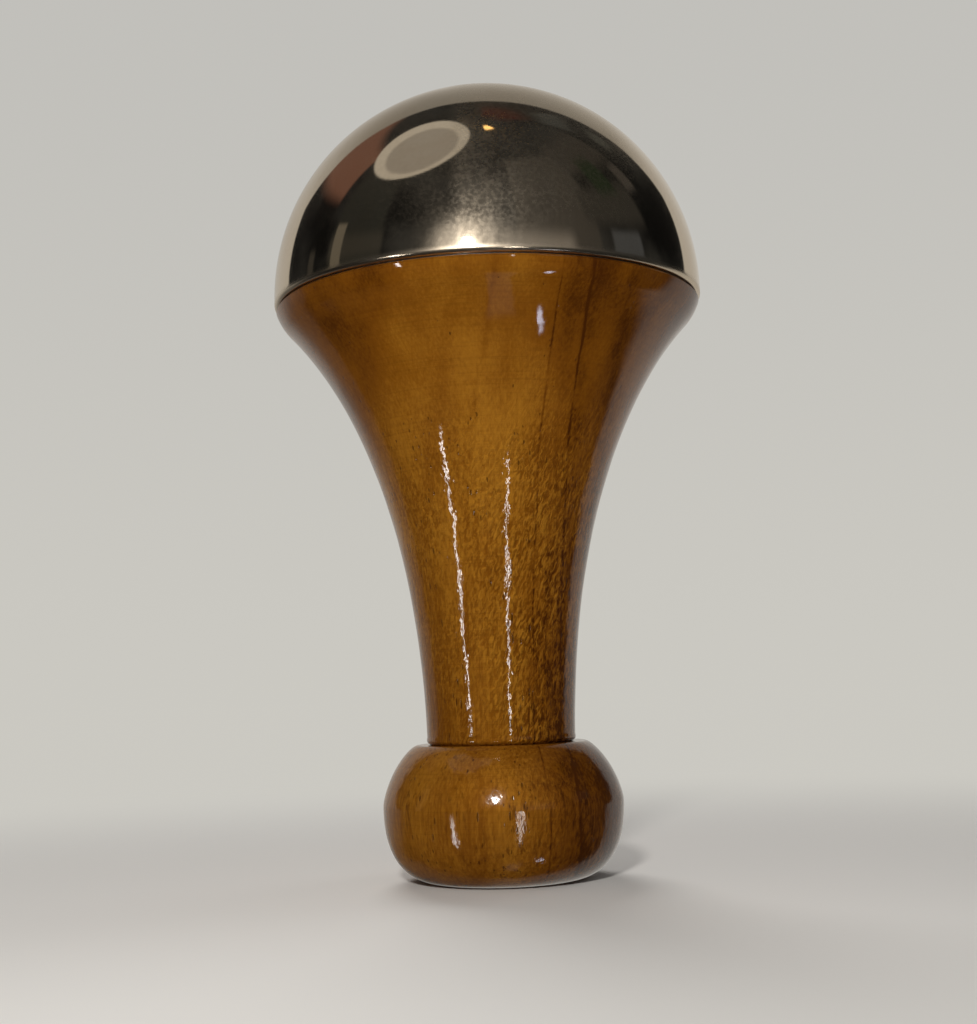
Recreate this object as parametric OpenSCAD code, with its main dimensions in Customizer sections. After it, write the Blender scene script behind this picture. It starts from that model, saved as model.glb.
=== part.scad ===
// Hand massage wand: a bell-metal dome on a flared, turned wooden handle with a bun-shaped end knob.
// Millimetres. +Z is the axis of turning, towards the dome. The origin is the centre of the knob's
// flat end, the face that the wand stands on.

/* [Dome cap] */
// Outside diameter of the dome
cap_d = 70; // [60:1:80]
// Wall thickness of the cast dome
cap_wall = 2.6; // [1.5:0.1:4]
// Height of the straight stretch between the rim and the round of the dome
cap_skirt = 1.4; // [0.5:0.1:3]
// Width of the bevel on the rim's outer edge
rim_bevel = 0.7; // [0.2:0.1:1]
// Gap between the rim and the wood, filled with resin
rim_gap = 0.2; // [0.2:0.1:1]
// Diameter of the boss cast inside the crown
boss_d = 14; // [12:1:20]
// Length of that boss below the inside of the crown
boss_drop = 10; // [8:1:14]

/* [Handle] */
// Height of the flared handle, from the knob to the dome's rim
handle_h = 71; // [60:1:85]
// Diameter of the stem where it meets the knob
stem_d = 23.8; // [20:0.2:26]
// Diameter of the shoulder under the dome's rim
shoulder_d = 69.4; // [59.4:0.2:79.4]
// Height of the head that is turned on the handle and sits inside the dome
head_h = 17; // [10:1:18]
// Resin space between the head and the inside of the dome
bed_gap = 0.8; // [0.4:0.1:1.5]

/* [Knob] */
// Largest diameter of the knob
knob_d = 38.4; // [32:0.2:44]
// Height of the knob
knob_h = 21.4; // [18:0.2:26]
// Height of the knob's widest circle above its flat end
knob_mid_h = 12; // [10:0.5:14]
// Diameter of the flat end that the wand stands on
base_d = 21.2; // [16:0.2:26]
// Diameter at which the knob's top turns flat, around the stem
knob_top_d = 27; // [26.6:0.2:30]
// Fullness of the knob's lower round: 2 is an ellipse, more is squarer
lower_fullness = 2.35; // [1.6:0.05:3]
// Fullness of the knob's upper round
upper_fullness = 1.45; // [1.2:0.05:2.5]

/* [Stud and dowel] */
// Diameter of the steel stud's threads
stud_d = 6; // [5:0.5:8]
// Length of the stud in the wood
stud_in_wood = 25; // [18:1:30]
// Length of the stud in the dome's boss
stud_in_boss = 8.5; // [6:0.5:9]
// Pitch of the stud's wood thread
wood_pitch = 2; // [1.5:0.5:3]
// Pitch of the stud's machine thread
machine_pitch = 1; // [0.8:0.1:1.5]
// Diameter of the wooden dowel between the stem and the knob
dowel_d = 10; // [8:1:12]
// Length of the dowel in the stem
dowel_in_stem = 15; // [10:1:20]
// Length of the dowel in the knob
dowel_in_knob = 12; // [8:1:13]
// Number of glue grooves along the dowel
dowel_grooves = 12; // [6:1:16]

/* [Hidden] */
$fn = 96;

cap_r = cap_d / 2;
inner_r = cap_r - cap_wall;
rim_z = knob_h + handle_h;
dome_z = rim_z + cap_skirt;
seat_z = rim_z - rim_gap;
crown_z = dome_z + inner_r;
boss_z = crown_z - boss_drop;
stud_end_room = 0.5;
line_inset = 0.8;

stem_r = stem_d / 2;
shoulder_r = shoulder_d / 2;
head_r = inner_r - bed_gap;
head_z = rim_z + head_h;
flare_steps = 40;
shoulder_steps = 8;
stem_chamfer = 0.5;
stem_lip = 0.15;
shoulder_bevel = 0.3;

knob_r = knob_d / 2;
base_r = base_d / 2;
knob_top_r = knob_top_d / 2;
knob_steps = 24;

hole_clearance = 1;
thread_depth = 0.5;
core_r = stud_d / 2 - thread_depth;
stud_bottom_z = head_z - stud_in_wood;
stud_top_z = boss_z + stud_in_boss;
dowel_r = dowel_d / 2;
groove_r = 0.5;
dowel_chamfer = 1;

// Control points of the flare: [radius, height]
flare_curve = [
    [stem_r, knob_h + stem_chamfer * 2.4],
    [stem_r + 1.1, rim_z - 24.4],
    [shoulder_r - 4.85, rim_z - 6.7],
    [shoulder_r - 1.95, rim_z - 3.55]
];
// The rounded shoulder carries on from the flare and ends steeply under the rim
shoulder_curve = [
    [shoulder_r - 1.95, rim_z - 3.55],
    [shoulder_r - 0.7, rim_z - 2.3],
    [shoulder_r, rim_z - 0.55]
];

function cubic(p, t) = pow(1 - t, 3) * p[0] + 3 * t * pow(1 - t, 2) * p[1]
    + 3 * t * t * (1 - t) * p[2] + pow(t, 3) * p[3];
function quadratic(p, t) = pow(1 - t, 2) * p[0] + 2 * t * (1 - t) * p[1] + t * t * p[2];

// A quarter round from the widest circle, at angle 0, to a flat of radius flat_r, at angle 90
function quarter_round(flat_r, wide_r, mid_h, rise, fullness, a) = [
    flat_r + (wide_r - flat_r) * pow(cos(a), 2 / fullness),
    mid_h + rise * pow(sin(a), 2 / fullness)
];

handle_outline = concat(
    [[0, knob_h], [stem_r - stem_chamfer, knob_h], [stem_r + stem_lip, knob_h + stem_chamfer]],
    [for (i = [0:flare_steps]) cubic(flare_curve, i / flare_steps)],
    [for (i = [1:shoulder_steps]) quadratic(shoulder_curve, i / shoulder_steps)],
    [[shoulder_r - shoulder_bevel, seat_z], [0, seat_z]]
);

knob_outline = concat(
    [[0, 0]],
    [for (i = [0:knob_steps])
        quarter_round(base_r, knob_r, knob_mid_h, -knob_mid_h, lower_fullness, 90 * (1 - i / knob_steps))],
    [for (i = [1:knob_steps])
        quarter_round(knob_top_r, knob_r, knob_mid_h, knob_h - knob_mid_h, upper_fullness, 90 * i / knob_steps)],
    [[0, knob_h]]
);

// Cylinder along Z between two heights
module post(r, low_z, high_z) {
    translate([0, 0, low_z]) cylinder(r = r, h = high_z - low_z);
}

// A straight skirt with half a ball on top, all centred on the dome's centre
module dome(r, low_z) {
    post(r, low_z, dome_z);
    intersection() {
        translate([0, 0, dome_z]) sphere(r = r);
        post(r + 1, dome_z, dome_z + r + 1);
    }
}

// Cast and turned bell-metal shell, with a tapped boss inside its crown
module bell_metal_cap() {
    color([0.78, 0.73, 0.62])
        difference() {
            dome(cap_r, rim_z);
            difference() {
                dome(inner_r, rim_z - 1);
                post(boss_d / 2, boss_z, crown_z + 1);
            }
            post(stud_d / 2, boss_z - 1, boss_z + stud_in_boss + stud_end_room);
            difference() {
                post(cap_r + 1, rim_z - 1, rim_z + rim_bevel);
                post(cap_r - rim_bevel, rim_z - 2, rim_z);
                translate([0, 0, rim_z]) cylinder(r1 = cap_r - rim_bevel, r2 = cap_r, h = rim_bevel);
            }
        }
}

// Head of the handle: the part that the dome and its resin close over
module head() {
    intersection() {
        dome(head_r, seat_z - 1);
        post(head_r + 1, seat_z - 1, head_z);
    }
}

// Dark resin that fills the dome around the head, and shows as a thin line under the rim
module resin_bed() {
    color([0.12, 0.09, 0.06])
        difference() {
            union() {
                dome(inner_r, rim_z);
                post(cap_r - line_inset, seat_z, rim_z);
            }
            head();
            post(boss_d / 2, boss_z, crown_z + 1);
            post(stud_d / 2, head_z - 1, boss_z + 1);
        }
}

// One ridge of a thread: a ring with a pointed crest
module ridge(z, pitch) {
    translate([0, 0, z]) {
        cylinder(r1 = core_r, r2 = stud_d / 2, h = pitch * 0.3);
        translate([0, 0, pitch * 0.3]) cylinder(r = stud_d / 2, h = pitch * 0.1);
        translate([0, 0, pitch * 0.4]) cylinder(r1 = stud_d / 2, r2 = core_r, h = pitch * 0.3);
    }
}

// Steel stud: a wood thread in the handle, a plain shank, and a machine thread in the boss
module centre_stud() {
    wood_turns = floor((stud_in_wood - 4) / wood_pitch);
    machine_turns = floor((stud_in_boss - 1) / machine_pitch);
    color([0.62, 0.63, 0.65]) {
        union() {
            translate([0, 0, stud_bottom_z]) cylinder(r1 = 0.8, r2 = core_r, h = 3);
            post(core_r, stud_bottom_z + 3, stud_top_z - 0.5);
            translate([0, 0, stud_top_z - 0.5]) cylinder(r1 = core_r, r2 = core_r - 0.5, h = 0.5);
            post(stud_d / 2, head_z - 1, boss_z);
            for (i = [0:wood_turns - 1]) ridge(stud_bottom_z + 3 + i * wood_pitch, wood_pitch);
            for (i = [0:machine_turns - 1]) ridge(boss_z + 0.2 + i * machine_pitch, machine_pitch);
        }
    }
}

// Turned hardwood handle: stem, flare and shoulder, with the head that goes inside the dome
module handle() {
    color([0.62, 0.38, 0.12])
        difference() {
            union() {
                rotate_extrude() polygon(handle_outline);
                intersection() {
                    head();
                    post(head_r + 1, seat_z - 0.5, head_z);
                }
            }
            post(stud_d / 2, stud_bottom_z - hole_clearance, head_z + 1);
            post(dowel_r, knob_h - 1, knob_h + dowel_in_stem + hole_clearance);
        }
}

// Grooved hardwood dowel that pins the knob to the stem
module knob_dowel() {
    low_z = knob_h - dowel_in_knob;
    high_z = knob_h + dowel_in_stem;
    color([0.82, 0.68, 0.47])
        difference() {
            union() {
                translate([0, 0, low_z])
                    cylinder(r1 = dowel_r - dowel_chamfer, r2 = dowel_r, h = dowel_chamfer);
                post(dowel_r, low_z + dowel_chamfer, high_z - dowel_chamfer);
                translate([0, 0, high_z - dowel_chamfer])
                    cylinder(r1 = dowel_r, r2 = dowel_r - dowel_chamfer, h = dowel_chamfer);
            }
            for (i = [0:dowel_grooves - 1])
                rotate([0, 0, i * 360 / dowel_grooves])
                    translate([dowel_r, 0, low_z - 1])
                        cylinder(r = groove_r, h = high_z - low_z + 2, $fn = 24);
        }
}

// Bun-shaped knob with a flat end, bored for the dowel
module end_knob() {
    color([0.55, 0.33, 0.11])
        difference() {
            rotate_extrude() polygon(knob_outline);
            post(dowel_r, knob_h - dowel_in_knob - hole_clearance, knob_h + 1);
        }
}

bell_metal_cap();
resin_bed();
centre_stud();
handle();
knob_dowel();
end_knob();
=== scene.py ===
import math

import bpy
from mathutils import Matrix, Vector, noise


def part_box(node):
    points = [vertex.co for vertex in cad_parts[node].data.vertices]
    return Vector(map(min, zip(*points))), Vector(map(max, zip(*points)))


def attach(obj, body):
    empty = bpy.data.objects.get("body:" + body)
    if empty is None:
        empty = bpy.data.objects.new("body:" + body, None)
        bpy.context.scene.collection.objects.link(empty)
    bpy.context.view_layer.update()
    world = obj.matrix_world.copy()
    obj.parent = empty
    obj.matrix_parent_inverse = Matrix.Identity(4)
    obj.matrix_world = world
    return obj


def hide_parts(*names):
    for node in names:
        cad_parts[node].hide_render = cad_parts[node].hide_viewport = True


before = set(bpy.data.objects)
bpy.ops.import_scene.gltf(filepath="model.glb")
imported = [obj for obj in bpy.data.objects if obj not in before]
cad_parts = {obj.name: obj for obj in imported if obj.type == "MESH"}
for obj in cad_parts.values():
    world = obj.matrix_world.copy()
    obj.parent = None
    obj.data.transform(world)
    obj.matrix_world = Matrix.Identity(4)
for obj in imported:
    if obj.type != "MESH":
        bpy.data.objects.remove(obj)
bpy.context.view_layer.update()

# Metres, in the CAD's frame: +Z is the axis of turning, and the wand stands on the floor at Z = 0.
MM = 0.001

# Places that the CAD nodes give
CAP_LOW, CAP_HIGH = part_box("bell_metal_cap")
HANDLE_LOW, HANDLE_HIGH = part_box("handle")
_, KNOB_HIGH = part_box("end_knob")
CAP_R = CAP_HIGH.x
RIM_Z = CAP_LOW.z
DOME_Z = CAP_HIGH.z - CAP_R
SHOULDER_R = HANDLE_HIGH.x
FOOT_Z = HANDLE_LOW.z
HEAD_Z = HANDLE_HIGH.z
KNOB_R = KNOB_HIGH.x
KNOB_TOP_Z = KNOB_HIGH.z

# Sizes that the boxes don't show
CAP_WALL = 2.6 * MM
RIM_GAP = 0.2 * MM
RIM_ROUND = 0.7 * MM
SHOULDER_BEVEL = 0.3 * MM
BED_GAP = 0.8 * MM
BOSS_R = 7 * MM
BOSS_DROP = 10 * MM
STUD_R = 3 * MM
STUD_HOLE_DEPTH = 26 * MM
BOSS_HOLE_DEPTH = 9 * MM
DOWEL_R = 5 * MM
DOWEL_HOLE_UP = 16 * MM
DOWEL_HOLE_DOWN = 13 * MM
STEM_R = 11.9 * MM
STEM_LIP = 0.15 * MM
STEM_CHAMFER = 0.5 * MM
BASE_R = 10.6 * MM
KNOB_MID_Z = 12 * MM
KNOB_TOP_R = 13.5 * MM
LOWER_FULLNESS = 2.35
UPPER_FULLNESS = 1.45

# The camera stands on the -Y side, a little above the knob, and looks slightly up
CAMERA_PLACE = Vector((0.0, -0.2481, 0.0309))
CAMERA_PITCH = 6.4
CAMERA_ROLL = -1.83
CAMERA_TURN = 0.21
CAMERA_LENS = 53.7
CAMERA_SENSOR = 36

# How finely the meshes are cut: the longest step along a visible outline, and the steps round the axis
STEP = 0.4 * MM
DOME_SEGMENTS = 320
HANDLE_SEGMENTS = 288
KNOB_SEGMENTS = 320
SHARP_ANGLE = 35
# A point this near to the axis is on it
ON_AXIS = 1e-7


# ---------------------------------------------------------------- outlines

def arc(centre_r, centre_z, radius, start, end, steps):
    """Points of an arc in the (radius, height) plane; angles in degrees, 90 is up."""
    angles = [math.radians(start + (end - start) * i / steps) for i in range(steps + 1)]
    return [(centre_r + radius * math.cos(a), centre_z + radius * math.sin(a)) for a in angles]


def bezier(points, steps):
    """Points of one Bezier curve through any number of control points."""
    made = []
    for i in range(steps + 1):
        t = i / steps
        level = list(points)
        while len(level) > 1:
            level = [
                (p[0] + (q[0] - p[0]) * t, p[1] + (q[1] - p[1]) * t)
                for p, q in zip(level, level[1:])
            ]
        made.append(level[0])
    return made


def quarter_round(flat_r, wide_r, middle_z, rise, fullness, steps):
    """From the widest circle to a flat of radius flat_r, evenly along the curve."""
    made = []
    for i in range(steps + 1):
        a = math.pi / 2 * i / steps
        made.append((
            flat_r + (wide_r - flat_r) * math.cos(a) ** (2 / fullness),
            middle_z + rise * math.sin(a) ** (2 / fullness),
        ))
    return made


def even(points, step):
    """The same outline with its long stretches cut up, so that no piece is longer than step."""
    made = [points[0]]
    for p, q in zip(points, points[1:]):
        cuts = max(1, math.ceil(math.dist(p, q) / step))
        made += [(p[0] + (q[0] - p[0]) * i / cuts, p[1] + (q[1] - p[1]) * i / cuts)
                 for i in range(1, cuts + 1)]
    return made


def cap_outline():
    """The dome outside, round its rim, and back up the inside to the boss and its blind hole."""
    inner_r = CAP_R - CAP_WALL
    crown_z = DOME_Z + inner_r
    boss_z = crown_z - BOSS_DROP
    boss_angle = math.degrees(math.acos(BOSS_R / inner_r))
    return (
        even(arc(0, DOME_Z, CAP_R, 90, 0, steps=150), STEP)
        + even([(CAP_R, DOME_Z), (CAP_R, RIM_Z + RIM_ROUND)], STEP)[1:]
        + arc(CAP_R - RIM_ROUND, RIM_Z + RIM_ROUND, RIM_ROUND, 0, -90, steps=10)[1:]
        + [(inner_r, RIM_Z), (inner_r, DOME_Z)]
        + arc(0, DOME_Z, inner_r, 0, boss_angle, steps=40)[1:]
        + [(BOSS_R, boss_z), (STUD_R, boss_z), (STUD_R, boss_z + BOSS_HOLE_DEPTH),
           (0, boss_z + BOSS_HOLE_DEPTH)]
    )


def handle_outline():
    """Up the stem and the flare, round the shoulder, over the hidden head, and down both bores."""
    head_r = CAP_R - CAP_WALL - BED_GAP
    head_angle = math.degrees(math.asin((HEAD_Z - DOME_Z) / head_r))
    seat_z = RIM_Z - RIM_GAP
    flare = [
        (STEM_R, FOOT_Z + STEM_CHAMFER * 2.4),
        (STEM_R + 1.1 * MM, RIM_Z - 24.4 * MM),
        (SHOULDER_R - 4.85 * MM, RIM_Z - 6.7 * MM),
        (SHOULDER_R - 1.95 * MM, RIM_Z - 3.55 * MM),
    ]
    shoulder = [flare[-1], (SHOULDER_R - 0.7 * MM, RIM_Z - 2.3 * MM), (SHOULDER_R, RIM_Z - 0.55 * MM)]
    foot = [
        (STEM_R - STEM_CHAMFER, FOOT_Z),
        (STEM_R + STEM_LIP, FOOT_Z + STEM_CHAMFER * 0.8),
        (STEM_R + STEM_LIP, FOOT_Z + STEM_CHAMFER * 1.3),
        flare[0],
    ]
    return (
        [(0, FOOT_Z + DOWEL_HOLE_UP), (DOWEL_R, FOOT_Z + DOWEL_HOLE_UP), (DOWEL_R, FOOT_Z)]
        + bezier(foot, steps=6)
        + even(bezier(flare, steps=220), STEP)[1:]
        + bezier(shoulder, steps=14)[1:]
        + [(SHOULDER_R - SHOULDER_BEVEL, seat_z), (head_r, seat_z), (head_r, DOME_Z)]
        + arc(0, DOME_Z, head_r, 0, head_angle, steps=12)[1:]
        + [(STUD_R, HEAD_Z), (STUD_R, HEAD_Z - STUD_HOLE_DEPTH), (0, HEAD_Z - STUD_HOLE_DEPTH)]
    )


def knob_outline():
    """The flat end, both rounds of the bun, and the dowel's hole."""
    rise = KNOB_TOP_Z - KNOB_MID_Z
    lower = quarter_round(BASE_R, KNOB_R, KNOB_MID_Z, -KNOB_MID_Z, LOWER_FULLNESS, steps=80)
    upper = quarter_round(KNOB_TOP_R, KNOB_R, KNOB_MID_Z, rise, UPPER_FULLNESS, steps=80)
    return (
        even([(0, 0), (BASE_R, 0)], 4 * STEP)
        + even(lower[::-1], STEP)[1:]
        + even(upper, STEP)[1:]
        + [(DOWEL_R, KNOB_TOP_Z), (DOWEL_R, KNOB_TOP_Z - DOWEL_HOLE_DOWN),
           (0, KNOB_TOP_Z - DOWEL_HOLE_DOWN)]
    )


# ---------------------------------------------------------------- meshes

def spun(name, outline, segments):
    """A closed mesh from an outline that starts and ends on the axis."""
    vertices = []
    rows = []
    for r, z in outline:
        if r < ON_AXIS:
            rows.append([len(vertices)])
            vertices.append((0.0, 0.0, z))
            continue
        rows.append(list(range(len(vertices), len(vertices) + segments)))
        for i in range(segments):
            a = 2 * math.pi * i / segments
            vertices.append((r * math.cos(a), r * math.sin(a), z))
    faces = []
    for low, high in zip(rows, rows[1:]):
        for i in range(segments):
            j = (i + 1) % segments
            if len(low) == 1 and len(high) > 1:
                faces.append((low[0], high[j], high[i]))
            elif len(high) == 1 and len(low) > 1:
                faces.append((low[i], low[j], high[0]))
            elif len(low) > 1:
                faces.append((low[i], low[j], high[j], high[i]))
    mesh = bpy.data.meshes.new(name)
    mesh.from_pydata(vertices, [], faces)
    mesh.validate()
    mesh.shade_smooth()
    piece = bpy.data.objects.new(name, mesh)
    bpy.context.scene.collection.objects.link(piece)
    return piece


def face_outwards(piece):
    """Turns the faces over if the mesh was made inside out."""
    mesh = piece.data
    volume = 0.0
    for face in mesh.polygons:
        a = mesh.vertices[face.vertices[0]].co
        for i in range(1, len(face.vertices) - 1):
            b = mesh.vertices[face.vertices[i]].co
            c = mesh.vertices[face.vertices[i + 1]].co
            volume += a.dot(b.cross(c))
    if volume < 0:
        mesh.flip_normals()


def ripple(piece, waves, fade):
    """Moves each vertex along its normal by smooth noise: what a hand tool and a brush leave.

    Each wave is its height, its size across and along the wand, and a seed.
    """
    mesh = piece.data
    normals = [v.normal.copy() for v in mesh.vertices]
    for vertex, normal in zip(mesh.vertices, normals):
        share = fade(vertex.co)
        if share <= 0:
            continue
        move = 0.0
        for height, (across, along), seed in waves:
            place = Vector((vertex.co.x / across, vertex.co.y / across, vertex.co.z / along))
            move += height * noise.noise(place + Vector((seed, seed * 2.3, seed * 0.7)))
        vertex.co += normal * (move * share)


def smooth_step(low, high, value):
    """0 at low, 1 at high, and a smooth change between."""
    t = min(1.0, max(0.0, (value - low) / (high - low)))
    return t * t * (3 - 2 * t)


def finish_piece(piece, material, slot, *replaced):
    """Gives a piece its shading, its material and its place in the frame."""
    face_outwards(piece)
    piece.data.set_sharp_from_angle(angle=math.radians(SHARP_ANGLE))
    piece.data.materials.append(material)
    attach(piece, "root")
    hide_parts(*replaced)


# ---------------------------------------------------------------- material nodes

class Graph:
    """Short ways to add nodes to one material or world. Values may be numbers or sockets."""

    def __init__(self, tree):
        self.tree = tree
        tree.nodes.clear()

    def add(self, kind, values=None, **settings):
        node = self.tree.nodes.new(kind)
        for key, value in settings.items():
            setattr(node, key, value)
        for key, value in (values or {}).items():
            if isinstance(value, bpy.types.NodeSocket):
                self.tree.links.new(value, node.inputs[key])
            else:
                node.inputs[key].default_value = value
        return node

    def calc(self, operation, a, b=0.0, c=0.0):
        return self.add("ShaderNodeMath", {0: a, 1: b, 2: c}, operation=operation).outputs[0]

    def madd(self, a, b, c):
        """a times b, plus c."""
        return self.calc("MULTIPLY_ADD", a, b, c)

    def product(self, made, *others):
        for other in others:
            made = self.calc("MULTIPLY", made, other)
        return made

    def swing(self, value):
        """A noise value as its distance from the middle, about -0.5 to 0.5."""
        return self.calc("SUBTRACT", value, 0.5)

    def scaled(self, vector, scale):
        return self.add("ShaderNodeVectorMath", {0: vector, 1: scale}, operation="MULTIPLY").outputs[0]

    def dot(self, vector, other):
        node = self.add("ShaderNodeVectorMath", {0: vector, 1: other}, operation="DOT_PRODUCT")
        return node.outputs["Value"]

    def noise(self, vector, scale=1.0, detail=2.0, roughness=0.5, distortion=0.0):
        values = {"Vector": vector, "Scale": scale, "Detail": detail, "Roughness": roughness,
                  "Distortion": distortion}
        return self.add("ShaderNodeTexNoise", values).outputs[0]

    def ramp(self, value, low, high, start=0.0, end=1.0):
        """start below low, end above high, and a smooth change between."""
        values = {"Value": value, "From Min": low, "From Max": high, "To Min": start, "To Max": end}
        return self.add("ShaderNodeMapRange", values, interpolation_type="SMOOTHSTEP").outputs[0]

    def mix(self, share, a, b, blend="MIX"):
        node = self.add("ShaderNodeMix", {0: share, 6: a, 7: b}, data_type="RGBA", blend_type=blend)
        return node.outputs[2]

    def bump(self, height, distance, strength=1.0):
        values = {"Height": height, "Distance": distance, "Strength": strength}
        return self.add("ShaderNodeBump", values).outputs[0]

    def millimetres(self):
        """The place on the object, in millimetres of the shared frame."""
        place = self.add("ShaderNodeTexCoord").outputs["Object"]
        return self.scaled(place, (1 / MM, 1 / MM, 1 / MM))

    def split(self, vector):
        """Its X, Y and Z."""
        return self.add("ShaderNodeSeparateXYZ", {0: vector}).outputs[0:3]


def new_material(name):
    """An empty material, and the Graph that fills it."""
    material = bpy.data.materials.new(name)
    material.use_nodes = True
    return material, Graph(material.node_tree)


def surface(graph, values):
    """One Principled shader as the whole material."""
    shader = graph.add("ShaderNodeBsdfPrincipled", values)
    graph.add("ShaderNodeOutputMaterial", {"Surface": shader.outputs[0]})


# Wood colours, as light that each reflects
WOOD_GOLD = (0.435, 0.184, 0.0165, 1)
WOOD_AMBER = (0.230, 0.078, 0.0052, 1)
WOOD_BROWN = (0.076, 0.021, 0.0020, 1)
WOOD_PORE = (0.046, 0.0135, 0.0020, 1)
WOOD_STREAK = (0.080, 0.0200, 0.0021, 1)
# How deep the grain and the lacquer's unevenness are
GRAIN_RELIEF = 0.19 * MM
LACQUER_RELIEF = 0.055 * MM
# The growth layers are flat and upright, and turned this far from facing along X
LAYER_TURN = math.radians(16.4)
# Dark layers: place across the blank in millimetres, half width, depth
DARK_LAYERS = (
    (1.8, 0.16, 0.60),
    (4.6, 1.6, 0.14),
    (6.9, 0.20, 0.80),
    (7.6, 1.2, 0.25),
    (13.5, 1.5, 0.25),
    (-8.4, 0.5, 0.22),
    (-13.4, 1.2, 0.14),
    (-25.0, 3.0, 0.13),
)
# Broad changes of tone, one of them painted shade: the amount, and where it grows from nothing to its
# full strength, in millimetres across the blank or up the wand
TONE_AND_SHADE_PATCHES = (
    (-0.46, ("across", -6.0, 15.0)),
    (0.09, ("height", 42.0, 58.0), ("height", 78.0, 66.0), ("across", -15.0, -9.0)),
    (-0.18, ("height", 21.0, 24.0), ("height", 84.0, 68.0), ("across", -8.0, -17.0)),
    (-0.09, ("height", 42.0, 30.0)),
    (0.03, ("height", 23.0, 19.0)),
    (-0.155, ("height", 23.0, 19.0), ("across", -6.0, 7.0)),
    (-0.12, ("height", 79.0, 88.0)),
    # Painted shade: the flare's upper left is darkened where the dome overhangs it
    (-0.30, ("across", -12.0, -25.0), ("height", 62.0, 78.0)),
    (-0.14, ("across", -6.5, -2.5), ("across", 6.5, 3.0), ("height", 76.0, 87.0)),
    (0.14, ("across", -13.5, -16.5), ("across", -23.0, -20.0), ("height", 40.0, 58.0)),
)


def across_the_blank(g, place):
    """The place across the growth layers, in millimetres; the layers wander a little."""
    along = (math.cos(LAYER_TURN), math.sin(LAYER_TURN), 0)
    wander = g.noise(g.scaled(place, (0.07, 0.07, 0.03)), detail=3)
    return g.madd(g.swing(wander), 2.0, g.dot(place, along))


def dark_layers(g, place, across):
    """How much the growth layers darken the wood."""
    layer = 0.0
    for centre, half_width, depth in DARK_LAYERS:
        off = g.calc("DIVIDE", g.calc("SUBTRACT", across, centre), half_width)
        bell = g.calc("POWER", math.e, g.product(off, off, -1.0))
        layer = g.madd(bell, depth, layer)
    breaks = g.noise(g.scaled(place, (0.5, 0.5, 0.12)), detail=3)
    return g.product(layer, g.ramp(breaks, 0.30, 0.62, 0.25, 1.15))


def curly_grain(g, place, across, figure):
    """Short leaning strokes and their share, which is largest on the stem and on the darker side."""
    x, y, height = g.split(place)
    leaning = g.add("ShaderNodeCombineXYZ", {0: g.madd(height, -0.32, x), 1: y, 2: height}).outputs[0]
    curl = g.noise(g.scaled(leaning, (2.1, 2.1, 0.85)), detail=2, roughness=0.6, distortion=0.7)
    patch = g.noise(g.scaled(place, (0.22, 0.22, 0.10)), detail=2)
    share = g.product(
        g.ramp(height, 54.0, 82.0, figure, 0.10),
        g.ramp(patch, 0.35, 0.60, 0.55, 1.1),
        g.ramp(across, -9.0, 3.0, 0.45, 1.0),
    )
    return g.ramp(curl, 0.34, 0.66), share


def wood_tone_and_shade(g, place, across, layer, stroke, stroke_share):
    """How golden the wood is, from about 0 where it is brown to about 1, with painted shade on the
    flare's upper left.
    """
    height = g.split(place)[2]
    fibre = g.noise(g.scaled(place, (2.4, 2.4, 0.10)), detail=4, roughness=0.6)
    broad = g.noise(g.scaled(place, (0.13, 0.13, 0.05)), detail=2)
    tone = g.madd(g.swing(fibre), g.ramp(height, 60.0, 80.0, 0.85, 0.50), 0.61)
    tone = g.madd(g.swing(broad), 0.70, tone)
    tone = g.madd(g.swing(stroke), g.product(stroke_share, 0.68), tone)
    places = {"across": across, "height": height}
    for amount, *limits in TONE_AND_SHADE_PATCHES:
        share = g.product(*(g.ramp(places[axis], none, full) for axis, none, full in limits))
        tone = g.madd(share, amount, tone)
    return g.madd(layer, -0.55, tone)


def red_streaks(g, place):
    """Red-brown streaks along the grain, in patches."""
    streak = g.noise(g.scaled(place, (1.5, 1.5, 0.34)), detail=2, roughness=0.55)
    patch = g.noise(g.scaled(place, (0.16, 0.16, 0.12)), detail=1)
    return g.product(g.ramp(streak, 0.55, 0.70), g.ramp(patch, 0.35, 0.60, 0.25, 1.0))


def open_pores(g, place, layer):
    """Dark dashes along the grain, crowded along the dark layers and in patches."""
    height = g.split(place)[2]
    cells = g.add("ShaderNodeTexVoronoi", {"Vector": g.scaled(place, (2.3, 2.3, 0.42)), "Scale": 1.0})
    chance, size, _ = g.split(cells.outputs["Color"])
    patch = g.noise(g.scaled(place, (0.20, 0.20, 0.07)), detail=2)
    crowd = g.madd(layer, 0.55, g.ramp(patch, 0.50, 0.66, 0.02, 0.50))
    crowd = g.product(crowd, g.ramp(height, 60.0, 80.0, 1.0, 0.08))
    reach = g.madd(size, 0.22, 0.15)
    dash = g.ramp(g.calc("SUBTRACT", reach, cells.outputs["Distance"]), -0.04, 0.06)
    return g.product(dash, g.calc("LESS_THAN", chance, crowd))


def lacquer_normal(g, place, pore):
    """The lacquer is uneven where it was brushed on, and sinks a little over each pore."""
    height = g.split(place)[2]
    ridge = g.noise(g.scaled(place, (0.9, 0.9, 0.75)), detail=2, roughness=0.55)
    sag = g.noise(g.scaled(place, (0.30, 0.30, 0.20)), detail=2)
    film = g.madd(ridge, 0.75, sag)
    film = g.product(film, g.ramp(height, 76.0, 60.0, 0.10, 1.0))
    film = g.madd(pore, -0.20, film)
    return g.bump(film, LACQUER_RELIEF)


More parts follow.
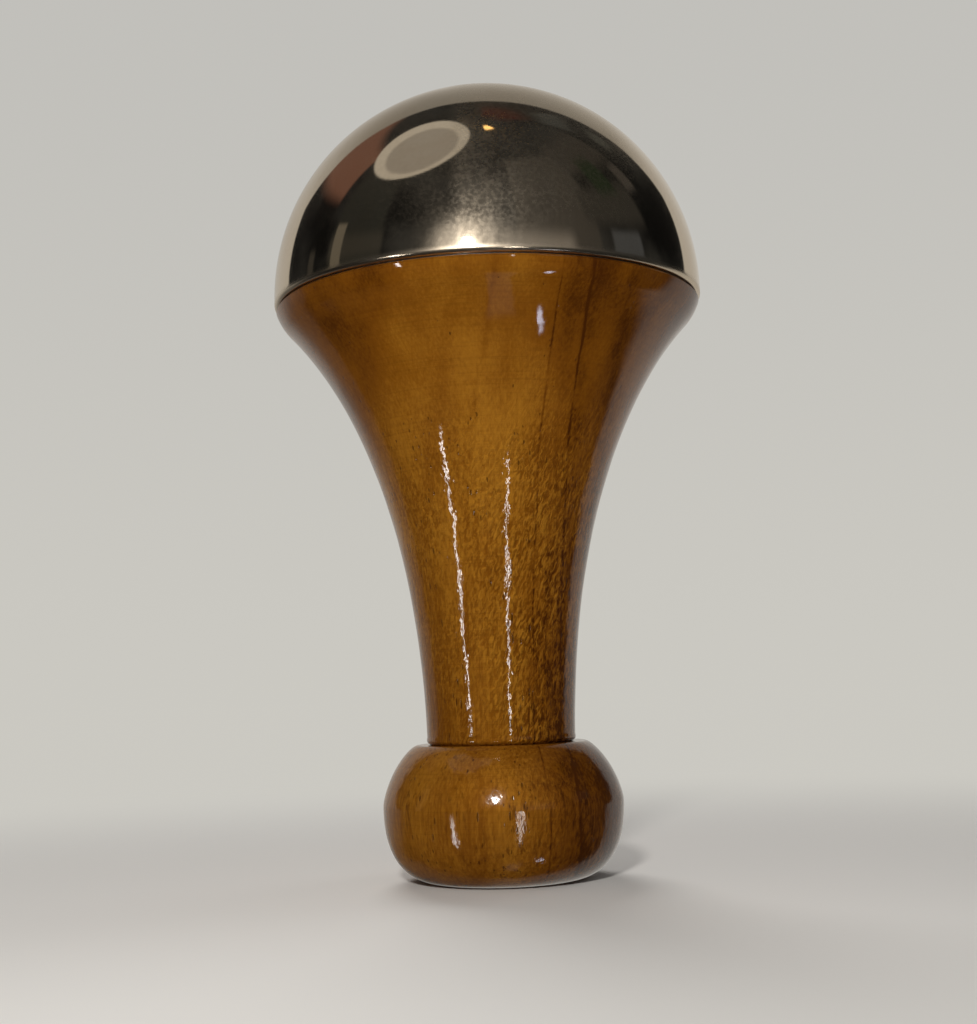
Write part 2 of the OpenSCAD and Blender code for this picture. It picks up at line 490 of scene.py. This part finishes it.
def lacquered_wood(name, figure, streaks, gloss_roughness):
    """Turned hardwood under a thick glossy lacquer, with the grain along Z.

    figure is how curly the grain is, and streaks is how strong its red-brown streaks are.
    """
    material, g = new_material(name)
    place = g.millimetres()
    across = across_the_blank(g, place)
    layer = dark_layers(g, place, across)
    stroke, stroke_share = curly_grain(g, place, across, figure)
    tone = wood_tone_and_shade(g, place, across, layer, stroke, stroke_share)
    pore = open_pores(g, place, layer)

    colour = g.mix(g.ramp(tone, 0.25, 0.95), WOOD_AMBER, WOOD_GOLD)
    colour = g.mix(g.ramp(tone, 0.36, -0.20), colour, WOOD_BROWN)
    colour = g.mix(g.product(red_streaks(g, place), streaks), colour, WOOD_STREAK)
    colour = g.mix(g.product(pore, 0.62), colour, WOOD_PORE)
    # Fine rings left by the turning tool
    rings = g.noise(g.scaled(place, (0.05, 0.05, 3.6)), detail=3, roughness=0.7)
    colour = g.mix(g.ramp(rings, 0.45, 0.7, 0.0, 0.16), colour, WOOD_BROWN)

    grain_height = g.madd(stroke, stroke_share, g.product(pore, -0.6))
    # A small metallic share gives the silky glow that the fibres have under the lacquer
    surface(g, {
        "Base Color": colour,
        "Metallic": 0.28,
        "Roughness": 0.6,
        "Specular IOR Level": 0.0,
        "Normal": g.bump(grain_height, GRAIN_RELIEF),
        "Coat Weight": 1.0,
        "Coat Roughness": gloss_roughness,
        "Coat IOR": 1.45,
        "Coat Normal": lacquer_normal(g, place, pore),
    })
    return material


# Bell metal colours, as light that each reflects
METAL_PALE = (0.765, 0.656, 0.510, 1)
METAL_WARM = (0.730, 0.612, 0.462, 1)
HAZE_ROUGHNESS = 0.38
HAZE_LEAST = 0.03
# How deep the hairlines are that polishing left round the dome
HAIRLINE_RELIEF = 0.0015 * MM


def haze_share(g, place, above_rim, smear):
    """How much of the polish is lost to fine scratches, smudges and wipe marks."""
    side = g.split(place)[0]
    wipe = g.noise(g.scaled(place, (0.55, 0.55, 0.10)), detail=2, roughness=0.55)
    mottle = g.noise(place, scale=1.7, detail=2, roughness=0.5)
    # Away from the rim the haze is thicker and has small spots, which are fainter near the crown
    thick = g.ramp(above_rim, 5.0, 12.0, 0.17, 0.29)
    spot_depth = g.ramp(above_rim, 2.5, 9.0, 0.06, 0.22)
    spot_depth = g.product(spot_depth, g.ramp(above_rim, 27.0, 17.0, 0.3, 1.0))
    share = g.madd(g.ramp(mottle, 0.34, 0.76, -0.40, 0.60), spot_depth, thick)
    share = g.madd(g.swing(wipe), 0.16, share)
    share = g.madd(g.swing(smear), 0.18, share)
    # Both sides have been wiped cleaner than the middle; the rim is the most scratched
    edge = g.madd(g.ramp(above_rim, 8.0, 1.0), -4.2, -3.4)
    left = g.ramp(g.calc("SUBTRACT", side, edge), 1.0, -2.5)
    clean = g.calc("ADD", left, g.ramp(side, 20.0, 26.0))
    share = g.product(share, g.madd(clean, -0.72, 1.0))
    share = g.madd(g.ramp(above_rim, 1.4, 0.4), 0.35, share)
    return g.calc("MAXIMUM", share, HAZE_LEAST)


def polished_bell_metal():
    """Pale golden bronze: a mirror polish under a soft haze."""
    material, g = new_material("polished_bell_metal")
    place = g.millimetres()
    above_rim = g.calc("SUBTRACT", g.split(place)[2], RIM_Z / MM)
    smear = g.noise(g.scaled(place, (0.10, 0.10, 0.06)), detail=3, roughness=0.6, distortion=0.6)
    hairline = g.noise(g.scaled(place, (0.4, 0.4, 5.0)), detail=3, roughness=0.7)
    shared = {
        "Base Color": g.mix(g.ramp(smear, 0.35, 0.7), METAL_PALE, METAL_WARM),
        "Metallic": 1.0,
        "Normal": g.bump(hairline, HAIRLINE_RELIEF),
    }
    roughness = g.ramp(above_rim, 1.2, 0.4, 0.045, 0.20)
    polish = g.add("ShaderNodeBsdfPrincipled", {**shared, "Roughness": roughness})
    haze = g.add("ShaderNodeBsdfPrincipled", {**shared, "Roughness": HAZE_ROUGHNESS})
    share = haze_share(g, place, above_rim, smear)
    both = g.add("ShaderNodeMixShader", {0: share, 1: polish.outputs[0], 2: haze.outputs[0]})
    g.add("ShaderNodeOutputMaterial", {"Surface": both.outputs[0]})
    return material


def set_resin():
    """Dark brown resin with dust in it."""
    material, g = new_material("set_resin")
    grain = g.noise(g.millimetres(), scale=1.4, detail=4, roughness=0.7)
    colour = g.mix(g.ramp(grain, 0.35, 0.7), (0.010, 0.008, 0.006, 1), (0.035, 0.024, 0.015, 1))
    surface(g, {"Base Color": colour, "Roughness": g.ramp(grain, 0.3, 0.7, 0.35, 0.6),
                "Normal": g.bump(grain, 0.05 * MM, 0.6)})
    return material


def rolled_steel():
    """Bright zinc-plated steel, with a faint cloudiness."""
    material, g = new_material("rolled_steel")
    cloud = g.noise(g.millimetres(), scale=0.8, detail=4, roughness=0.6)
    lines = g.noise(g.scaled(g.millimetres(), (1.0, 1.0, 9.0)), detail=2)
    colour = g.mix(g.ramp(cloud, 0.3, 0.7), (0.62, 0.63, 0.65, 1), (0.50, 0.50, 0.50, 1))
    surface(g, {"Base Color": colour, "Metallic": 1.0, "Roughness": g.ramp(cloud, 0.3, 0.7, 0.25, 0.42),
                "Normal": g.bump(lines, 0.02 * MM, 0.4)})
    return material


def bare_beech():
    """Pale beech with its short dark flecks, unlacquered."""
    material, g = new_material("bare_beech")
    place = g.millimetres()
    fibre = g.noise(g.scaled(place, (2.5, 2.5, 0.18)), detail=4, roughness=0.6)
    dash = g.noise(g.scaled(place, (3.0, 3.0, 0.8)), detail=2)
    colour = g.mix(g.ramp(fibre, 0.3, 0.7), (0.62, 0.45, 0.27, 1), (0.72, 0.56, 0.37, 1))
    colour = g.mix(g.ramp(dash, 0.62, 0.7, 0.0, 0.7), colour, (0.34, 0.20, 0.10, 1))
    surface(g, {"Base Color": colour, "Roughness": 0.7, "Normal": g.bump(fibre, 0.1 * MM, 0.6)})
    return material


# ---------------------------------------------------------------- the wand

def make_cap():
    """The polished dome, a little uneven where it was cast and buffed."""
    piece = spun("polished_dome", cap_outline(), DOME_SEGMENTS)
    waves = ((0.030 * MM, (14 * MM, 14 * MM), 3.1), (0.006 * MM, (4.5 * MM, 4.5 * MM), 8.4))
    ripple(piece, waves, lambda co: smooth_step(RIM_Z + 1 * MM, RIM_Z + 6 * MM, co.z)
           * smooth_step(CAP_R - CAP_WALL, CAP_R, (co - Vector((0, 0, DOME_Z))).length))
    finish_piece(piece, polished_bell_metal(), "bell_metal", "bell_metal_cap")


def make_handle():
    """The stem, flare and shoulder, uneven under their thick lacquer."""
    piece = spun("turned_handle", handle_outline(), HANDLE_SEGMENTS)
    waves = ((0.05 * MM, (9 * MM, 16 * MM), 1.7), (0.028 * MM, (4 * MM, 5 * MM), 5.2),
             (0.008 * MM, (1.7 * MM, 1.5 * MM), 9.6))
    ripple(piece, waves, lambda co: smooth_step(RIM_Z - 0.6 * MM, RIM_Z - 6 * MM, co.z)
           * smooth_step(DOWEL_R, STEM_R - STEM_CHAMFER, math.hypot(co.x, co.y)))
    material = lacquered_wood("stem_wood", figure=1.0, streaks=0.12, gloss_roughness=0.055)
    finish_piece(piece, material, "lacquered_wood", "handle")


def make_knob():
    """The bun-shaped knob, with a softer gloss than the stem."""
    piece = spun("bun_knob", knob_outline(), KNOB_SEGMENTS)
    waves = ((0.08 * MM, (10 * MM, 10 * MM), 4.4), (0.02 * MM, (4 * MM, 4 * MM), 2.2))
    ripple(piece, waves, lambda co: smooth_step(0.1 * MM, 2.5 * MM, co.z)
           * smooth_step(DOWEL_R, STEM_R, math.hypot(co.x, co.y)))
    material = lacquered_wood("knob_wood", figure=0.35, streaks=0.55, gloss_roughness=0.11)
    finish_piece(piece, material, "lacquered_wood", "end_knob")


def dress_cad_nodes():
    """The inner pieces stay as the CAD made them, with their own materials."""
    made = {"resin_bed": set_resin(), "centre_stud": rolled_steel(), "knob_dowel": bare_beech()}
    for node, material in made.items():
        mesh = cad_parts[node].data
        mesh.materials.clear()
        mesh.materials.append(material)


# ---------------------------------------------------------------- studio

# Light that the plain surroundings send to the camera, low and high
PALE_LOW = (0.595, 0.580, 0.535, 1)
PALE_HIGH = (0.535, 0.525, 0.495, 1)
# Light that lets matt surfaces be seen from every side, low and high
SOFT_LOW = (0.044, 0.043, 0.042, 1)
SOFT_HIGH = (0.088, 0.087, 0.085, 1)
# What gloss and polish mirror: the dim room, the pale surface behind the wand, and the round soft box
ROOM_DARK = (0.004, 0.0042, 0.0045, 1)
ROOM_PALE = (0.026, 0.027, 0.027, 1)
BACKDROP = (0.56, 0.535, 0.49, 1)
BOX_RIM = (0.46, 0.44, 0.40, 1)
BOX_MIDDLE = (0.285, 0.27, 0.25, 1)
# Plain parts of the studio that gloss and polish show: (azimuth, elevation, width, tall, softness) in
# degrees, azimuth 0 towards the camera's side and positive to its right, then colour and strength
PANELS = (
    ((40, 32, 46, 60, 3.0), (1.0, 0.94, 0.86), 0.043),
    ((84, 58, 50, 16, 4.0), (1.0, 0.93, 0.86), 0.036),
    ((28, 13, 38, 12, 7.0), (1.0, 0.95, 0.90), 0.24),
    ((-74, 28, 34, 42, 4.0), (0.95, 1.0, 0.92), 0.022),
    ((-74, 21, 36, 9, 3.0), (1.0, 0.97, 0.86), 0.036),
    ((78, 34, 42, 16, 4.0), (1.0, 0.97, 0.90), 0.030),
    ((-49, -18, 2.0, 25, 0.8), (1.0, 0.96, 0.92), 26.0),
    ((14.5, -16, 1.5, 27, 0.8), (1.0, 0.96, 0.92), 24.0),
    ((46.7, -53.7, 5, 4.5, 1.2), (0.72, 0.80, 1.0), 14.0),
    ((12, -68, 26, 16, 3.0), (1.0, 0.93, 0.93), 0.34),
    ((-86, 15, 7, 30, 1.0), (1.0, 0.92, 0.76), 0.13),
    ((-106, 8, 5, 26, 2.0), (1.0, 0.94, 0.84), 0.04),
    ((81, 19, 20, 9, 2.0), (0.80, 0.88, 1.0), 0.072),
    ((-121, 48, 46, 20, 3.0), (1.0, 0.52, 0.38), 0.15),
    ((82, 47, 15, 15, 4.0), (0.45, 0.85, 0.40), 0.024),
    ((104, 43, 9, 10, 2.0), (1.0, 0.93, 0.88), 0.055),
    ((125, 52, 10, 6, 2.0), (0.92, 1.0, 0.95), 0.055),
    ((128, 66, 24, 9, 3.0), (0.92, 1.0, 1.0), 0.050),
    ((150, 79, 60, 9, 4.0), (1.0, 0.26, 0.20), 0.044),
    ((26, 86, 34, 3.2, 1.0), (1.0, 0.62, 0.22), 2.9),
)
BOX_TOWARDS = Vector((-0.37, -0.12, 0.92)).normalized()
BOX_HALF_ANGLE = 17.5
BOX_MIDDLE_TOWARDS = Vector((-0.37, -0.15, 0.91)).normalized()
BOX_MIDDLE_HALF_ANGLE = 13.5
FLOOR_PAINT = (0.88, 0.87, 0.85, 1)
FLOOR_RINGS = (0.02, 0.06, 0.15, 0.4, 1.0, 3.0)
FLOOR_SEGMENTS = 96


def disc(g, direction, towards, half_angle, blur):
    """1 within half_angle of a direction, in degrees, and 0 outside."""
    limit = math.cos(math.radians(half_angle))
    return g.ramp(g.dot(direction, towards), limit - blur, limit + blur)


def backdrop_share(g, x, y, z):
    """Where polish and gloss see the pale surface behind the wand, and where the dim room begins."""
    high = g.madd(g.calc("MAXIMUM", g.calc("SUBTRACT", z, 0.5), 0.0), -0.55, 0.62)
    low = g.madd(g.calc("MAXIMUM", g.calc("SUBTRACT", -0.45, z), 0.0), -0.45, 0.42)
    notch = g.product(g.ramp(z, -0.25, -0.40), g.ramp(z, -0.58, -0.46), g.ramp(x, 0.1, -0.1))
    low = g.madd(notch, 0.18, low)
    edge = g.madd(g.ramp(z, -0.06, 0.12), g.calc("SUBTRACT", high, low), low)
    blur = g.ramp(z, 0.30, 0.10, 0.010, 0.075)
    return g.ramp(g.calc("SUBTRACT", y, edge), g.product(blur, -1.0), blur)


def backdrop_light(g, x, z):
    """The pale surface behind the wand is dimmer high up, low on the left and far to the right."""
    left = g.ramp(x, 0.0, -0.15)
    low_left = g.ramp(z, 0.0, -0.35, 0.85, 0.35)
    fade = g.product(
        g.ramp(z, 0.40, 0.90, 1.0, 0.46),
        g.ramp(g.madd(z, 1.2, x), -0.5, -1.0, 1.0, 0.55),
        g.madd(left, g.calc("SUBTRACT", low_left, 1.0), 1.0),
        g.ramp(x, 0.25, 0.60, 1.0, 0.87),
    )
    return g.mix(1.0, BACKDROP, fade, blend="MULTIPLY")


def add_panels(g, light, direction):
    """Lays each panel over the light from the room."""
    x, y, z = g.split(direction)
    azimuth = g.product(g.calc("ARCTAN2", x, g.product(y, -1.0)), 180 / math.pi)
    elevation = g.product(g.calc("ARCSINE", z), 180 / math.pi)
    for (centre, middle, width, tall, soft), colour, strength in PANELS:
        off_side = g.calc("ABSOLUTE", g.calc("SUBTRACT", azimuth, centre))
        off_tall = g.calc("ABSOLUTE", g.calc("SUBTRACT", elevation, middle))
        inside = g.product(
            g.ramp(off_side, width / 2 + soft / 2, width / 2 - soft / 2),
            g.ramp(off_tall, tall / 2 + soft, tall / 2 - soft),
        )
        light = g.mix(inside, light, (*(c * strength for c in colour), 1))
    return light


def add_soft_box(g, light, direction):
    """One round soft box overhead, with a brighter rim."""
    middle = disc(g, direction, BOX_MIDDLE_TOWARDS, BOX_MIDDLE_HALF_ANGLE, 0.004)
    box = g.mix(middle, BOX_RIM, BOX_MIDDLE)
    return g.mix(disc(g, direction, BOX_TOWARDS, BOX_HALF_ANGLE, 0.003), light, box)


def studio_world():
    """Each kind of ray sees its own plain surroundings: the camera, matt surfaces, and the rest."""
    world = bpy.data.worlds.new("studio")
    bpy.context.scene.world = world
    world.use_nodes = True
    g = Graph(world.node_tree)
    direction = g.add("ShaderNodeTexCoord").outputs["Generated"]
    x, y, z = g.split(direction)

    cloud = g.noise(g.scaled(direction, (1.6, 1.6, 2.2)), detail=3)
    light = g.mix(g.ramp(cloud, 0.35, 0.68), ROOM_DARK, ROOM_PALE)
    light = add_panels(g, light, direction)
    light = add_soft_box(g, light, direction)
    light = g.mix(backdrop_share(g, x, y, z), light, backdrop_light(g, x, z))

    path = g.add("ShaderNodeLightPath").outputs
    soft_light = g.mix(g.ramp(z, -0.6, 0.8), SOFT_LOW, SOFT_HIGH)
    seen = g.mix(g.ramp(z, -0.05, 0.45), PALE_LOW, PALE_HIGH)
    shown = g.mix(path["Is Diffuse Ray"], light, soft_light)
    shown = g.mix(path["Is Camera Ray"], shown, seen)
    background = g.add("ShaderNodeBackground", {"Color": shown, "Strength": 1.0})
    g.add("ShaderNodeOutputWorld", {"Surface": background.outputs[0]})


def floor_mesh():
    """A flat round mesh in rings."""
    count = FLOOR_SEGMENTS
    vertices = [(0, 0, 0)]
    faces = []
    for r in FLOOR_RINGS:
        vertices += [(r * math.cos(2 * math.pi * i / count), r * math.sin(2 * math.pi * i / count), 0)
                     for i in range(count)]
    for i in range(count):
        j = (i + 1) % count
        faces.append((0, 1 + i, 1 + j))
        for k in range(len(FLOOR_RINGS) - 1):
            a = 1 + k * count
            faces.append((a + i, a + count + i, a + count + j, a + j))
    mesh = bpy.data.meshes.new("studio_floor")
    mesh.from_pydata(vertices, [], faces)
    return mesh


def floor_paint():
    """Pale paint that turns into the plain surroundings before the floor's edge shows."""
    material, g = new_material("pale_floor")
    x, y, _ = g.split(g.add("ShaderNodeTexCoord").outputs["Object"])
    far = g.calc("SQRT", g.calc("ADD", g.product(x, x), g.product(y, y)))
    paint = g.add("ShaderNodeBsdfDiffuse", {"Color": FLOOR_PAINT})
    plain = g.add("ShaderNodeEmission", {"Color": PALE_LOW, "Strength": 1.0})
    share = g.ramp(far, 0.05, 0.26)
    both = g.add("ShaderNodeMixShader", {0: share, 1: paint.outputs[0], 2: plain.outputs[0]})
    g.add("ShaderNodeOutputMaterial", {"Surface": both.outputs[0]})
    return material


def pale_floor():
    """The floor that the wand stands on, which gloss and polish don't show."""
    mesh = floor_mesh()
    mesh.materials.append(floor_paint())
    floor = bpy.data.objects.new("studio_floor", mesh)
    bpy.context.scene.collection.objects.link(floor)
    floor.visible_glossy = False


def lamp(name, place, target, size, watts, colour, in_gloss=True):
    """A round area lamp that looks at a point."""
    data = bpy.data.lights.new(name, "AREA")
    data.shape = "DISK"
    data.size = size
    data.energy = watts
    data.color = colour
    light = bpy.data.objects.new(name, data)
    light.location = place
    light.rotation_euler = (Vector(place) - Vector(target)).to_track_quat("Z", "Y").to_euler()
    light.visible_glossy = in_gloss
    bpy.context.scene.collection.objects.link(light)


def studio_lamps():
    """A small key light above the camera, a wide fill behind it, and two lamps for the far sides."""
    middle = (0, 0, RIM_Z * 0.6)
    lamp("key", (-0.043, -0.288, 0.160), middle, 0.034, 0.50, (1.0, 0.965, 0.92))
    lamp("front_fill", (0.10, -0.80, 0.12), middle, 0.6, 0.25, (1.0, 0.97, 0.93), in_gloss=False)
    lamp("back_light", (-0.15, 0.60, 0.45), middle, 0.4, 2.6, (1.0, 0.98, 0.95), in_gloss=False)
    lamp("side_light", (0.55, 0.35, 0.30), middle, 0.4, 0.4, (1.0, 0.98, 0.95), in_gloss=False)


def studio_camera():
    """One camera, low beside the standing wand and looking slightly up."""
    data = bpy.data.cameras.new("camera")
    data.lens = CAMERA_LENS
    data.sensor_width = CAMERA_SENSOR
    data.clip_start = 0.01
    camera = bpy.data.objects.new("camera", data)
    turn = Matrix.Rotation(math.radians(CAMERA_TURN), 4, "Z")
    pitch = Matrix.Rotation(math.radians(90 + CAMERA_PITCH), 4, "X")
    roll = Matrix.Rotation(math.radians(CAMERA_ROLL), 4, "Z")
    camera.matrix_world = Matrix.Translation(CAMERA_PLACE) @ turn @ pitch @ roll
    bpy.context.scene.collection.objects.link(camera)
    bpy.context.scene.camera = camera


studio_camera()
make_cap()
make_handle()
make_knob()
dress_cad_nodes()
studio_world()
pale_floor()
studio_lamps()
bpy.context.scene.view_settings.view_transform = "Standard"
